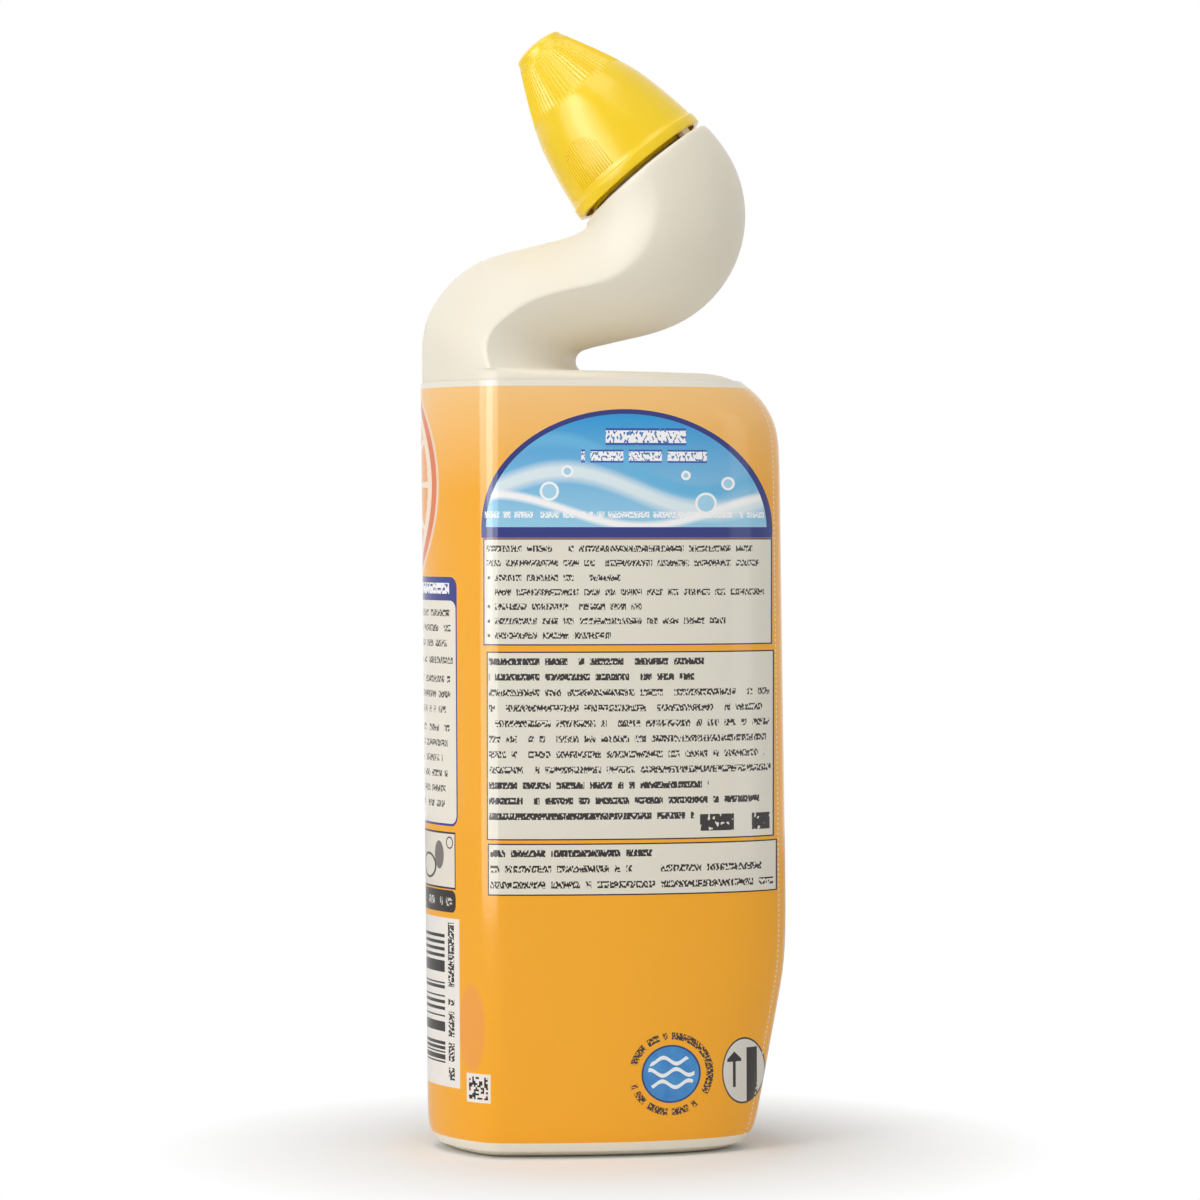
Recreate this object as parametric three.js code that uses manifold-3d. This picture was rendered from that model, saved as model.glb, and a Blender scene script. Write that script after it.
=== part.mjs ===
// Toilet cleaner bottle with a duck neck: the blow-moulded bottle, its printed shrink sleeve, the
// dropper insert in the mouth and the squeeze-and-turn cap. Millimetres, +Z up, the broad faces look
// along -Y and +Y. The tall side is the one the neck rises from (-X), the free side is the other (+X).
import * as THREE from "three";
import { mergeVertices } from "three/addons/utils/BufferGeometryUtils.js";
import Module from "manifold-3d";

const wasm = await Module();
wasm.setup();

// Body
const BODY_WIDTH = 94.4;
const BODY_DEPTH = 55; // across the two upright ridges
const FACE_DEPTH = 50; // across the broad faces, measured over the middle of the body
const SHOULDER_HEIGHT = 198.6;
const SHOULDER_CORNER = 19; // radius of the free upper corner
const SHOULDER_EDGE = 4; // rounding between the broad faces and the shoulder
const RIDGE_FROM_TALL_SIDE = 19.9; // the soft upright ridge on each broad face
const TALL_LEAN = 1.9; // how far the foot stands back from the tall side's widest place
const FREE_LEAN = 2.2; // how far the free side leans in towards the shoulder
const KICK_HEIGHT = 50; // below this height the free side is cut back towards the foot
const KICK_INSET = 9.2;
const TAPER_HEIGHT = 28; // below this height the broad faces draw in towards the foot
const TAPER_INSET = 1.1;
const FOOT_ROUNDING = 7.5;
const FOOT_RIM = 4;
const PUSH_UP = 3;
const TALL_FLATNESS = 0.42; // 0 is an elliptic section, 1 a straight one from the end to the ridge
const NECK_FLATNESS = 0.38;
const WALL = 1;

// Neck, whose outline is drawn in the plane between the two broad faces
const NECK_ROOT = 39.8; // width between the tall side and the root of the notch
const NOTCH_RADIUS = 3.1;
const ROOT_RISE = 1.2; // of the tall side over the flat shoulder
const ELBOW_RISE = 6.3; // from the shoulder to the centre of the elbow's arc
const ELBOW_RADIUS = 25;
const ARM_SLOPE = 12.5; // degrees from level
const ARM_REACH = 17.7; // straight underside from the notch to the head
const HEAD_RADIUS = 31;
const HEAD_TURN = 125; // degrees that the head's outer arc turns through
const MOUTH_TILT = 39.8; // degrees that the mouth leans back from upright
const COLLAR_RADIUS = 20.3; // the round end of the neck under the cap
const COLLAR_EDGE = 1.2;
const ELBOW_DEPTH = 48; // across the neck, ridge to ridge
const ARM_DEPTH = 42;
const CORNER_REACH = 5; // how far the arm's top starts to turn up before the collar
const ELBOW_SHARE = 0.24; // of the tall outline that is passed while the free side turns round the notch
const ARM_SHARE = 0.76; // of the tall outline that is passed at the end of the arm
const ELBOW_RIDGE = 0.47; // where the ridge lies across the elbow, from the tall side

// Mouth
const FINISH_RADIUS = 12.6;
const FINISH_HEIGHT = 16; // from the cap's rim plane to the sealing land
const BORE_RADIUS = 10.6;
const RIM_GAP = 1; // between the cap's rim and the neck
const LUG_HEIGHT = 5;
const LUG_SPAN = 12; // degrees
const LUG_RADIUS = 17.6;

// Shrink sleeve
const FILM = 0.25;
const FILM_GAP = 0.2;

// Cap
const CAP_HEIGHT = 42.4;
const CAP_RIM_RADIUS = 19.6;
const CAP_BAND = 3;
const CAP_STEP = 0.5;
const CAP_WAIST_HEIGHT = 20;
const CAP_WAIST_RADIUS = 15.9;
const CAP_TIP_RADIUS = 6.8;
const CAP_TIP_EDGE = 1.3;
const CAP_TIP_DOME = 0.9;
const CAP_WALL = 1.2;
const FLUTES = 72;
const FLUTE_DEPTH = 0.35;
const FLUTE_START = 25;
const FLUTE_END = 38.4;
const THREAD_COLLAR_WALL = 1.1;
const THREAD_ROOM = 1.7; // between the finish and the cap's inner collar, for the thread
const PAD_WIDTH = 11.5;
const PAD_BOTTOM = 4.2;
const PAD_TOP = 15.5;
const PAD_RIB_PITCH = 0.82;
const PAD_RIB_HEIGHT = 0.3;
const PAD_ANGLE = -122; // degrees about the mouth's axis, from the side away from the body
const SKIRT_BEND = [0.36, 0.55]; // shares of the skirt's draw-in and rise at which its curve bends
const CONE_BEND = [0.23, 0.34];
const GROOVE_ROOM = 3.5; // from the top of the groove behind the skirt to the waist
const STOP_GAP = 14; // degrees between the stops of the cap and the neck

// Dropper insert
const SPOUT_HEIGHT = 34;
const SPOUT_TIP_RADIUS = 3.9;
const SPOUT_FOOT_RADIUS = 9;
const ORIFICE_RADIUS = 2.5;
const INSERT_WALL = 0.9;
const INSERT_FLANGE = 1;
const SPOUT_BEND = [0.7, 0.6]; // shares of the spout's draw-in and rise at which its slope changes
const PLUG_DEPTH = 10;
const CLEARANCE = 0.3;

// How finely round shapes are cut
const TALL_STEPS = 6; // of a section, from its tall end to the ridge
const FREE_STEPS = 8; // from its free end to the ridge, closer together near the ridge
const FREE_PACE = 1.5;
const NOTCH_STEPS = 5;
const ARM_STEPS = 4;
const HEAD_STEPS = 9;
const ROUND = 36;

const TAU = 2 * Math.PI;
const tallSide = -BODY_WIDTH / 2;
const freeSide = BODY_WIDTH / 2;
const ridgeX = tallSide + RIDGE_FROM_TALL_SIDE;
const radians = THREE.MathUtils.degToRad;
const mix = THREE.MathUtils.lerp;

function vec(x, z) {
  return new THREE.Vector2(x, z);
}

function polar(centre, radius, degrees) {
  const turn = radians(degrees);
  return vec(centre.x + radius * Math.cos(turn), centre.y + radius * Math.sin(turn));
}

// Sections

// One closed section, in the plane that holds both of its ends and the Y direction. It bulges to its
// full depth at the ridge, a share of the way from the tall end to the free end.
function section({ tall, free, ridge, depth, tallFlat, freeFlat }) {
  const side = [];
  const add = (share, flat, alongOf) => {
    const turn = (share * Math.PI) / 2;
    const run = 1 - Math.cos(turn);
    const place = tall.clone().lerp(free, alongOf(run));
    const bulge = (1 - flat) * Math.sin(turn) + flat * run;
    side.push(new THREE.Vector3(place.x, -depth * bulge, place.y));
  };
  for (let i = 0; i <= TALL_STEPS; i++) {
    add(i / TALL_STEPS, tallFlat, (run) => ridge * run);
  }
  for (let i = FREE_STEPS - 1; i >= 0; i--) {
    add(1 - (1 - i / FREE_STEPS) ** FREE_PACE, freeFlat, (run) => 1 - (1 - ridge) * run);
  }
  const back = side.slice(1, -1).reverse();
  return [...side, ...back.map((p) => new THREE.Vector3(p.x, -p.y, p.z))];
}

// How straight the free half of a section is, so that its broad face has the given half depth at X = 0
function faceFlatness(freeX, depth, face) {
  const share = Math.min(0.95, -ridgeX / (freeX - ridgeX));
  const round = Math.sqrt(1 - share * share);
  return (round - face / depth) / (round - (1 - share));
}

// The body's section at a height, drawn in all round by an inset
function bodySection(z, inset = 0, faceInset = 0) {
  const tallX = tallSide + TALL_LEAN * (1 - z / SHOULDER_HEIGHT);
  const kick = KICK_INSET * Math.max(0, 1 - z / KICK_HEIGHT);
  const lean = FREE_LEAN * Math.max(0, (z - KICK_HEIGHT) / (SHOULDER_HEIGHT - KICK_HEIGHT));
  const cornerZ = SHOULDER_HEIGHT - SHOULDER_CORNER;
  const up = Math.max(0, z - cornerZ) / SHOULDER_CORNER;
  const corner = SHOULDER_CORNER * (1 - Math.sqrt(Math.max(0, 1 - up * up)));
  const taper = TAPER_INSET * Math.max(0, 1 - z / TAPER_HEIGHT);
  const tall = vec(tallX + inset, z);
  const free = vec(freeSide - kick - lean - corner - inset, z);
  const depth = BODY_DEPTH / 2 - taper - inset;
  const face = FACE_DEPTH / 2 - taper - inset - faceInset;
  return {
    tall,
    free,
    ridge: (ridgeX - tall.x) / (free.x - tall.x),
    depth,
    tallFlat: TALL_FLATNESS,
    freeFlat: faceFlatness(free.x, depth, face),
  };
}

// The section at an angle round the rounding between the foot and the walls, 0 on the foot
function footSection(degrees) {
  const turn = radians(degrees);
  return bodySection(FOOT_ROUNDING * (1 - Math.cos(turn)), FOOT_ROUNDING * (1 - Math.sin(turn)));
}

// The section at an angle round the free upper corner, 90 degrees on the shoulder. Its broad faces
// round off over the last few millimetres.
function cornerSection(degrees) {
  const z = SHOULDER_HEIGHT - SHOULDER_CORNER * (1 - Math.sin(radians(degrees)));
  const up = Math.max(0, 1 - (SHOULDER_HEIGHT - z) / SHOULDER_EDGE);
  return bodySection(z, 0, SHOULDER_EDGE * (1 - Math.sqrt(Math.max(0, 1 - up * up))));
}

// A section part of the way from one section to another
function between(from, to, share) {
  return {
    tall: from.tall.clone().lerp(to.tall, share),
    free: from.free.clone().lerp(to.free, share),
    ridge: mix(from.ridge, to.ridge, share),
    depth: mix(from.depth, to.depth, share),
    tallFlat: mix(from.tallFlat, to.tallFlat, share),
    freeFlat: mix(from.freeFlat, to.freeFlat, share),
  };
}

// A smaller copy of a section about its middle, drawn in by an inset at its ridge
function shrunk(whole, inset) {
  const share = inset / whole.depth;
  const middle = whole.tall.clone().lerp(whole.free, 0.5);
  const point = { ...whole, tall: middle, free: middle.clone(), depth: 0 };
  return between(whole, point, share);
}

// The neck's two outlines

const elbow = vec(tallSide + ELBOW_RADIUS, SHOULDER_HEIGHT + ELBOW_RISE);
const notch = vec(tallSide + NECK_ROOT + NOTCH_RADIUS, SHOULDER_HEIGHT + NOTCH_RADIUS);
const armStart = polar(notch, NOTCH_RADIUS, 90 + ARM_SLOPE);
const headStart = polar(armStart, ARM_REACH, ARM_SLOPE);
const head = polar(headStart, HEAD_RADIUS, 90 + ARM_SLOPE);
const headStartAngle = ARM_SLOPE - 90;
const collarFree = polar(head, HEAD_RADIUS, headStartAngle + HEAD_TURN);
const collarCentre = polar(collarFree, -COLLAR_RADIUS, MOUTH_TILT);
const collarTall = polar(collarCentre, -COLLAR_RADIUS, MOUTH_TILT);
const elbowEnd = polar(elbow, ELBOW_RADIUS, 90 + ARM_SLOPE);
// The mouth's frame starts at the cap's rim plane
const mouth = polar(collarCentre, COLLAR_EDGE + RIM_GAP, 90 + MOUTH_TILT);

function arc(centre, radius, from, to) {
  return new THREE.Path().absarc(centre.x, centre.y, radius, radians(from), radians(to), to < from);
}

// From the tall side over the elbow and along the arm's top, then up the tight inner corner
function tallOutline(startZ) {
  const path = new THREE.Path().moveTo(tallSide, startZ);
  path.lineTo(elbow.x - ELBOW_RADIUS, elbow.y);
  path.absarc(elbow.x, elbow.y, ELBOW_RADIUS, Math.PI, radians(90 + ARM_SLOPE), true);
  const along = collarTall.x - elbowEnd.x;
  const corner = polar(elbowEnd, along / Math.cos(radians(ARM_SLOPE)), ARM_SLOPE);
  const turn = polar(corner, -CORNER_REACH, ARM_SLOPE);
  path.lineTo(turn.x, turn.y);
  path.quadraticCurveTo(corner.x, corner.y, collarTall.x, collarTall.y);
  return path;
}

// The neck's sections, in three stretches: round the notch, along the arm and round the head
function neckSections(root) {
  const tallPath = tallOutline(root.tall.y);
  const notchArc = arc(notch, NOTCH_RADIUS, -90, ARM_SLOPE - 270);
  const headArc = arc(head, HEAD_RADIUS, headStartAngle, headStartAngle + HEAD_TURN);
  const stretches = [
    {
      free: (u) => notchArc.getPoint(u),
      steps: NOTCH_STEPS,
      tallShare: ELBOW_SHARE,
      ridge: ELBOW_RIDGE,
      depth: ELBOW_DEPTH,
      tallFlat: NECK_FLATNESS,
      freeFlat: NECK_FLATNESS,
    },
    {
      free: (u) => armStart.clone().lerp(headStart, u),
      steps: ARM_STEPS,
      tallShare: ARM_SHARE,
      ridge: 0.5,
      depth: ARM_DEPTH,
      tallFlat: NECK_FLATNESS,
      freeFlat: NECK_FLATNESS,
    },
    {
      free: (u) => headArc.getPoint(u),
      steps: HEAD_STEPS,
      tallShare: 1,
      ridge: 0.5,
      depth: 2 * COLLAR_RADIUS,
      tallFlat: 0,
      freeFlat: 0,
    },
  ];
  const sections = [];
  let from = { ...root, tallShare: 0 };
  for (const stretch of stretches) {
    const to = { ...stretch, depth: stretch.depth / 2, tall: root.tall, free: root.free };
    for (let i = 1; i <= stretch.steps; i++) {
      const share = i / stretch.steps;
      sections.push({
        ...between(from, to, share),
        tall: tallPath.getPointAt(mix(from.tallShare, stretch.tallShare, share)),
        free: stretch.free(share),
      });
    }
    from = { ...to, tallShare: stretch.tallShare };
  }
  return sections;
}

// A round section about the mouth's axis, at a height over the cap's rim plane
function mouthSection(height, radius) {
  const centre = polar(mouth, height, 90 + MOUTH_TILT);
  return {
    tall: polar(centre, -radius, MOUTH_TILT),
    free: polar(centre, radius, MOUTH_TILT),
    ridge: 0.5,
    depth: radius,
    tallFlat: 0,
    freeFlat: 0,
  };
}

// Meshes

// A closed surface over rings of equally many points: it ends in a point at each end, or, with no
// end points, joins the last ring to the first.
function loft(rings, startPoint, endPoint) {
  const count = rings[0].length;
  const points = rings.flat();
  const faces = [];
  const last = startPoint ? rings.length - 1 : rings.length;
  for (let r = 0; r < last; r++) {
    const next = (r + 1) % rings.length;
    for (let i = 0; i < count; i++) {
      const j = (i + 1) % count;
      const a = r * count + i;
      const b = r * count + j;
      const c = next * count + i;
      const d = next * count + j;
      faces.push(a, b, d, a, d, c);
    }
  }
  if (startPoint) {
    const foot = points.push(startPoint) - 1;
    const top = points.push(endPoint) - 1;
    const lastRing = (rings.length - 1) * count;
    for (let i = 0; i < count; i++) {
      const j = (i + 1) % count;
      faces.push(foot, j, i);
      faces.push(top, lastRing + i, lastRing + j);
    }
  }
  const geometry = new THREE.BufferGeometry().setFromPoints(points);
  geometry.setIndex(faces);
  return geometry;
}

// Each ring's outward normals, from its neighbours along and around the surface
function outward(rings) {
  const count = rings[0].length;
  return rings.map((ring, r) => {
    const before = rings[Math.max(0, r - 1)];
    const after = rings[Math.min(rings.length - 1, r + 1)];
    return ring.map((_, i) => {
      const around = ring[(i + 1) % count].clone().sub(ring[(i + count - 1) % count]);
      const along = after[i].clone().sub(before[i]);
      return around.cross(along).normalize();
    });
  });
}

function offset(rings, normals, distance) {
  return rings.map((ring, r) => ring.map((p, i) => p.clone().addScaledVector(normals[r][i], distance)));
}

function solid(geometry) {
  geometry.deleteAttribute("normal");
  geometry.deleteAttribute("uv");
  const merged = mergeVertices(geometry, 1e-4);
  return new wasm.Manifold(
    new wasm.Mesh({
      numProp: 3,
      vertProperties: merged.attributes.position.array,
      triVerts: new Uint32Array(merged.index.array),
    }),
  );
}

function geometryOf(made) {
  const mesh = made.getMesh();
  const geometry = new THREE.BufferGeometry();
  geometry.setAttribute("position", new THREE.BufferAttribute(mesh.vertProperties, 3));
  geometry.setIndex(new THREE.BufferAttribute(mesh.triVerts, 1));
  return geometry;
}

function lathe(points, segments) {
  const geometry = new THREE.LatheGeometry(points, segments);
  geometry.rotateX(Math.PI / 2);
  return geometry;
}

function part(name, geometry, material) {
  const mesh = new THREE.Mesh(geometry, material);
  mesh.name = name;
  return mesh;
}

// An arched block about the Z axis, between two radii and two heights, centred on an angle
function archBlock(inner, outer, bottom, top, centreAngle, span) {
  const from = radians(centreAngle - span / 2);
  const to = radians(centreAngle + span / 2);
  const shape = new THREE.Shape();
  shape.absarc(0, 0, outer, from, to, false);
  shape.absarc(0, 0, inner, to, from, true);
  shape.closePath();
  const block = new THREE.ExtrudeGeometry(shape, {
    depth: top - bottom,
    bevelEnabled: false,
    curveSegments: 3,
  });
  return block.translate(0, 0, bottom);
}

// Bottle

const FOOT_EDGE_ANGLE = 45; // where the sleeve's lower edge lies on the foot rounding
const TOP_EDGE_ANGLE = 60; // where its upper edge lies on the free upper corner
const wallHeights = [16, TAPER_HEIGHT, 39, KICK_HEIGHT, 74, 98, 122, 146, 166];

function wallSections() {
  return [
    footSection(FOOT_EDGE_ANGLE),
    footSection(68),
    footSection(90),
    ...wallHeights.map((z) => bodySection(z)),
    ...[0, 15, 30, 45, TOP_EDGE_ANGLE].map(cornerSection),
  ];
}

function footSections() {
  const foot = footSection(0);
  const rim = shrunk(foot, FOOT_RIM);
  const panel = shrunk(foot, FOOT_RIM + PUSH_UP);
  panel.tall.y = PUSH_UP;
  panel.free.y = PUSH_UP;
  return [panel, rim, foot, footSection(24)];
}

// From the shoulder's edge inwards over the flat shoulder to the root of the neck. The tall side goes
// straight up meanwhile.
function shoulderSections() {
  const edge = cornerSection(90);
  const tall = vec(tallSide, SHOULDER_HEIGHT + ROOT_RISE);
  const root = { ...edge, tall, free: vec(notch.x, SHOULDER_HEIGHT) };
  root.freeFlat = NECK_FLATNESS;
  const flat = [0.25, 0.5, 0.75, 1].map((share) => {
    const made = between(edge, root, share);
    made.ridge = (ridgeX - made.tall.x) / (made.free.x - made.tall.x);
    return made;
  });
  return [cornerSection(75), edge, ...flat];
}

const wall = wallSections();
const shoulder = shoulderSections();
const neck = neckSections(shoulder[shoulder.length - 1]);
const skin = [...footSections(), ...wall, ...shoulder, ...neck].map(section);
const skinNormals = outward(skin);

function bottleGeometry() {
  const shell = [
    [-RIM_GAP - COLLAR_EDGE / 4, COLLAR_RADIUS - COLLAR_EDGE / 3],
    [-RIM_GAP, COLLAR_RADIUS - COLLAR_EDGE],
    [-RIM_GAP, FINISH_RADIUS],
    [FINISH_HEIGHT - CLEARANCE, FINISH_RADIUS],
    [FINISH_HEIGHT, FINISH_RADIUS - CLEARANCE],
    [FINISH_HEIGHT, BORE_RADIUS + CLEARANCE],
    [FINISH_HEIGHT - CLEARANCE, BORE_RADIUS],
    [-RIM_GAP - WALL, BORE_RADIUS],
    [-RIM_GAP - WALL, COLLAR_RADIUS - COLLAR_EDGE - WALL],
  ];
  const finish = shell.map(([height, radius]) => section(mouthSection(height, radius)));
  const inside = offset(skin, skinNormals, -WALL).reverse();
  const underside = new THREE.Vector3(0, 0, PUSH_UP);
  const floor = new THREE.Vector3(0, 0, PUSH_UP + WALL);
  let made = solid(loft([...skin, ...finish, ...inside], underside, floor));
  for (const side of [0, 180]) {
    const lug = archBlock(
      FINISH_RADIUS + THREAD_ROOM + THREAD_COLLAR_WALL + 2 * CLEARANCE,
      LUG_RADIUS,
      -RIM_GAP - WALL / 2,
      LUG_HEIGHT - RIM_GAP,
      PAD_ANGLE + 90 + side,
      LUG_SPAN,
    );
    lug.rotateY(-radians(MOUTH_TILT)).translate(mouth.x, 0, mouth.y);
    made = made.add(solid(lug));
  }
  return geometryOf(made);
}

// The film follows the wall, a gap away from it
function sleeveGeometry() {
  const first = skin.length - neck.length - shoulder.length - wall.length;
  const rings = skin.slice(first, first + wall.length);
  const normals = skinNormals.slice(first, first + wall.length);
  const outside = offset(rings, normals, FILM_GAP + FILM);
  const inside = offset(rings, normals, FILM_GAP).reverse();
  return loft([...outside, ...inside]);
}

// Dropper insert, about the mouth's axis

function insertGeometry() {
  const plug = BORE_RADIUS - CLEARANCE;
  const seat = FINISH_HEIGHT + CLEARANCE;
  const flange = FINISH_RADIUS - CLEARANCE;
  const top = seat + INSERT_FLANGE;
  const bend = vec(
    mix(SPOUT_FOOT_RADIUS, SPOUT_TIP_RADIUS, SPOUT_BEND[0]),
    mix(top, SPOUT_HEIGHT, SPOUT_BEND[1]),
  );
  const profile = [
    vec(plug, FINISH_HEIGHT - PLUG_DEPTH),
    vec(plug, seat),
    vec(flange, seat),
    vec(flange, top),
    vec(SPOUT_FOOT_RADIUS, top),
    bend,
    vec(SPOUT_TIP_RADIUS, SPOUT_HEIGHT - INSERT_WALL),
    vec(SPOUT_TIP_RADIUS - INSERT_WALL / 2, SPOUT_HEIGHT),
    vec(ORIFICE_RADIUS, SPOUT_HEIGHT),
    vec(ORIFICE_RADIUS, SPOUT_HEIGHT - 4 * INSERT_WALL),
    vec(bend.x - INSERT_WALL, bend.y),
    vec(SPOUT_FOOT_RADIUS - INSERT_WALL, top),
    vec(plug - INSERT_WALL, top - INSERT_WALL),
    vec(plug - INSERT_WALL, FINISH_HEIGHT - PLUG_DEPTH),
    vec(plug, FINISH_HEIGHT - PLUG_DEPTH),
  ];
  return lathe(profile, ROUND);
}

// Cap, about the mouth's axis, its rim at height 0

const capTopEdge = vec(CAP_TIP_RADIUS, CAP_HEIGHT - CAP_TIP_DOME - CAP_TIP_EDGE);
const skirtCurve = new THREE.QuadraticBezierCurve(
  vec(CAP_RIM_RADIUS - CAP_STEP, CAP_BAND),
  vec(
    mix(CAP_RIM_RADIUS - CAP_STEP, CAP_WAIST_RADIUS, SKIRT_BEND[0]),
    mix(CAP_BAND, CAP_WAIST_HEIGHT, SKIRT_BEND[1]),
  ),
  vec(CAP_WAIST_RADIUS, CAP_WAIST_HEIGHT),
);
const coneCurve = new THREE.QuadraticBezierCurve(
  skirtCurve.v2,
  vec(
    mix(CAP_WAIST_RADIUS, CAP_TIP_RADIUS, CONE_BEND[0]),
    mix(CAP_WAIST_HEIGHT, capTopEdge.y, CONE_BEND[1]),
  ),
  capTopEdge,
);

// The radius of a curve of the cap at a height
function radiusAt(curve, height) {
  const points = curve.getPoints(100);
  const above = points.findIndex((p) => p.y >= height);
  const [low, high] = [points[Math.max(0, above - 1)], points[above]];
  const share = high.y === low.y ? 0 : (height - low.y) / (high.y - low.y);
  return mix(low.x, high.x, share);
}

function capOutside() {
  const profile = [
    vec(0, 0),
    vec(CAP_RIM_RADIUS - CAP_STEP / 2, 0),
    vec(CAP_RIM_RADIUS, CAP_STEP),
    vec(CAP_RIM_RADIUS, CAP_BAND - CAP_STEP / 2),
    ...skirtCurve.getPoints(3),
    ...coneCurve.getPoints(3).slice(1),
  ];
  const round = arc(vec(capTopEdge.x - CAP_TIP_EDGE, capTopEdge.y), CAP_TIP_EDGE, 0, 75);
  profile.push(...round.getPoints(2).slice(1));
  profile.push(vec(capTopEdge.x / 2, CAP_HEIGHT - CAP_TIP_DOME / 4));
  profile.push(vec(0, CAP_HEIGHT));
  return lathe(profile, FLUTES);
}

// Straight grooves along the upper cone
function fluteCutters() {
  const low = vec(radiusAt(coneCurve, FLUTE_START), FLUTE_START);
  const high = vec(radiusAt(coneCurve, FLUTE_END), FLUTE_END);
  const lean = Math.atan2(low.x - high.x, high.y - low.y);
  const cutters = [];
  for (let i = 0; i < FLUTES; i++) {
    const cutter = new THREE.CylinderGeometry(1.6 * FLUTE_DEPTH, 2 * FLUTE_DEPTH, low.distanceTo(high), 4);
    cutter.rotateX(Math.PI / 2).translate(FLUTE_DEPTH, 0, 0).rotateY(-lean);
    cutter.translate((low.x + high.x) / 2, 0, (low.y + high.y) / 2);
    cutters.push(solid(cutter.rotateZ(((i + 0.5) * TAU) / FLUTES)));
  }
  return cutters;
}

// The room inside: the bell over the finish and spout, round the sealing pin, and the groove
// between the threaded collar and the skirt
function capRooms() {
  const collar = FINISH_RADIUS + THREAD_ROOM;
  const groove = collar + THREAD_COLLAR_WALL;
  const below = -1;
  const pinRadius = ORIFICE_RADIUS - CLEARANCE;
  const pinSeat = SPOUT_HEIGHT + CLEARANCE;
  const bossRadius = SPOUT_TIP_RADIUS;
  const roof = CAP_HEIGHT - CAP_TIP_DOME - CAP_WALL - CAP_TIP_EDGE;
  const bell = [
    vec(0, below),
    vec(collar, below),
    vec(collar, CAP_WAIST_HEIGHT),
    ...[22, 26, 30, 34].map((height) => vec(radiusAt(coneCurve, height) - CAP_WALL, height)),
    vec(radiusAt(coneCurve, roof) - CAP_WALL, roof),
    vec(bossRadius, roof),
    vec(bossRadius, pinSeat),
    vec(pinRadius, pinSeat),
    vec(pinRadius, SPOUT_HEIGHT - 2 * INSERT_WALL),
    vec(0, SPOUT_HEIGHT - 3 * INSERT_WALL),
  ];
  const skirtInside = [3, 8, 12, 15].map((height) => vec(radiusAt(skirtCurve, height) - CAP_WALL, height));
  const ring = [
    vec(groove, below),
    vec(CAP_RIM_RADIUS - CAP_STEP - CAP_WALL, below),
    ...skirtInside,
    vec(groove, CAP_WAIST_HEIGHT - GROOVE_ROOM),
    vec(groove, below),
  ];
  return [solid(lathe(bell, ROUND)), solid(lathe(ring, ROUND))];
}

// Fine upright ribs under an arched top, on two opposite sides
function padRibs() {
  const ribs = [];
  const count = Math.floor(PAD_WIDTH / PAD_RIB_PITCH);
  const lean = Math.atan2(radiusAt(skirtCurve, PAD_BOTTOM) - radiusAt(skirtCurve, PAD_TOP),
    PAD_TOP - PAD_BOTTOM);
  for (const side of [0, 180]) {
    for (let i = 0; i <= count; i++) {
      const across = (i - count / 2) * PAD_RIB_PITCH;
      const arch = Math.sqrt(Math.max(0, 1 - (2 * across / (PAD_WIDTH + 1)) ** 2));
      const top = PAD_TOP - (PAD_WIDTH / 2) * (1 - arch);
      const middle = (PAD_BOTTOM + top) / 2;
      const radius = radiusAt(skirtCurve, middle);
      const rib = new THREE.BoxGeometry(2 * PAD_RIB_HEIGHT, PAD_RIB_PITCH / 2, top - PAD_BOTTOM);
      rib.rotateY(-lean).translate(radius, 0, middle);
      rib.rotateZ(radians(PAD_ANGLE + side) + across / radius);
      ribs.push(solid(rib));
    }
  }
  return ribs;
}

function capGeometry() {
  let made = solid(capOutside());
  for (const room of [...capRooms(), ...fluteCutters()]) made = made.subtract(room);
  for (const rib of padRibs()) made = made.add(rib);
  for (const side of [0, 180]) {
    const angle = PAD_ANGLE + 90 + side + STOP_GAP;
    const outer = CAP_RIM_RADIUS - CAP_STEP - CAP_WALL / 2;
    const inner = LUG_RADIUS - 2 * CLEARANCE;
    const lug = archBlock(inner, outer, CAP_STEP, LUG_HEIGHT - RIM_GAP, angle, LUG_SPAN);
    made = made.add(solid(lug));
  }
  return geometryOf(made);
}

// Materials and assembly

const hdpe = new THREE.MeshStandardMaterial({ color: 0xf3efe2, roughness: 0.45 });
const printedFilm = new THREE.MeshStandardMaterial({ color: 0xf5b044, roughness: 0.2 });
const ldpe = new THREE.MeshStandardMaterial({ color: 0xf5f3ec, roughness: 0.5 });
const yellowPp = new THREE.MeshStandardMaterial({ color: 0xfdd921, roughness: 0.3 });

const mouthGroup = new THREE.Group();
mouthGroup.position.set(mouth.x, 0, mouth.y);
mouthGroup.rotation.y = -radians(MOUTH_TILT);
mouthGroup.add(part("dropper_insert", insertGeometry(), ldpe));
mouthGroup.add(part("cap", capGeometry(), yellowPp));

const bottle = new THREE.Group();
bottle.add(part("bottle", bottleGeometry(), hdpe));
bottle.add(part("sleeve", sleeveGeometry(), printedFilm));
bottle.add(mouthGroup);

export default bottle;
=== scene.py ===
"""Toilet cleaner bottle in its printed shrink sleeve, on a plain white floor. Metres, +Z up."""
import math

import bpy
from mathutils import Matrix, Vector


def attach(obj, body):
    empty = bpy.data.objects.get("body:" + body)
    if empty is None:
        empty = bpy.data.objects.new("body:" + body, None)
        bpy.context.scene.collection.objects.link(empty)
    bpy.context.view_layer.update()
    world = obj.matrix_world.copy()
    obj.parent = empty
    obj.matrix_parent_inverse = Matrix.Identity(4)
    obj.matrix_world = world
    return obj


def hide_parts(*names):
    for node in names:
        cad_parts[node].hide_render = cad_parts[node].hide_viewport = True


MM = 0.001

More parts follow.
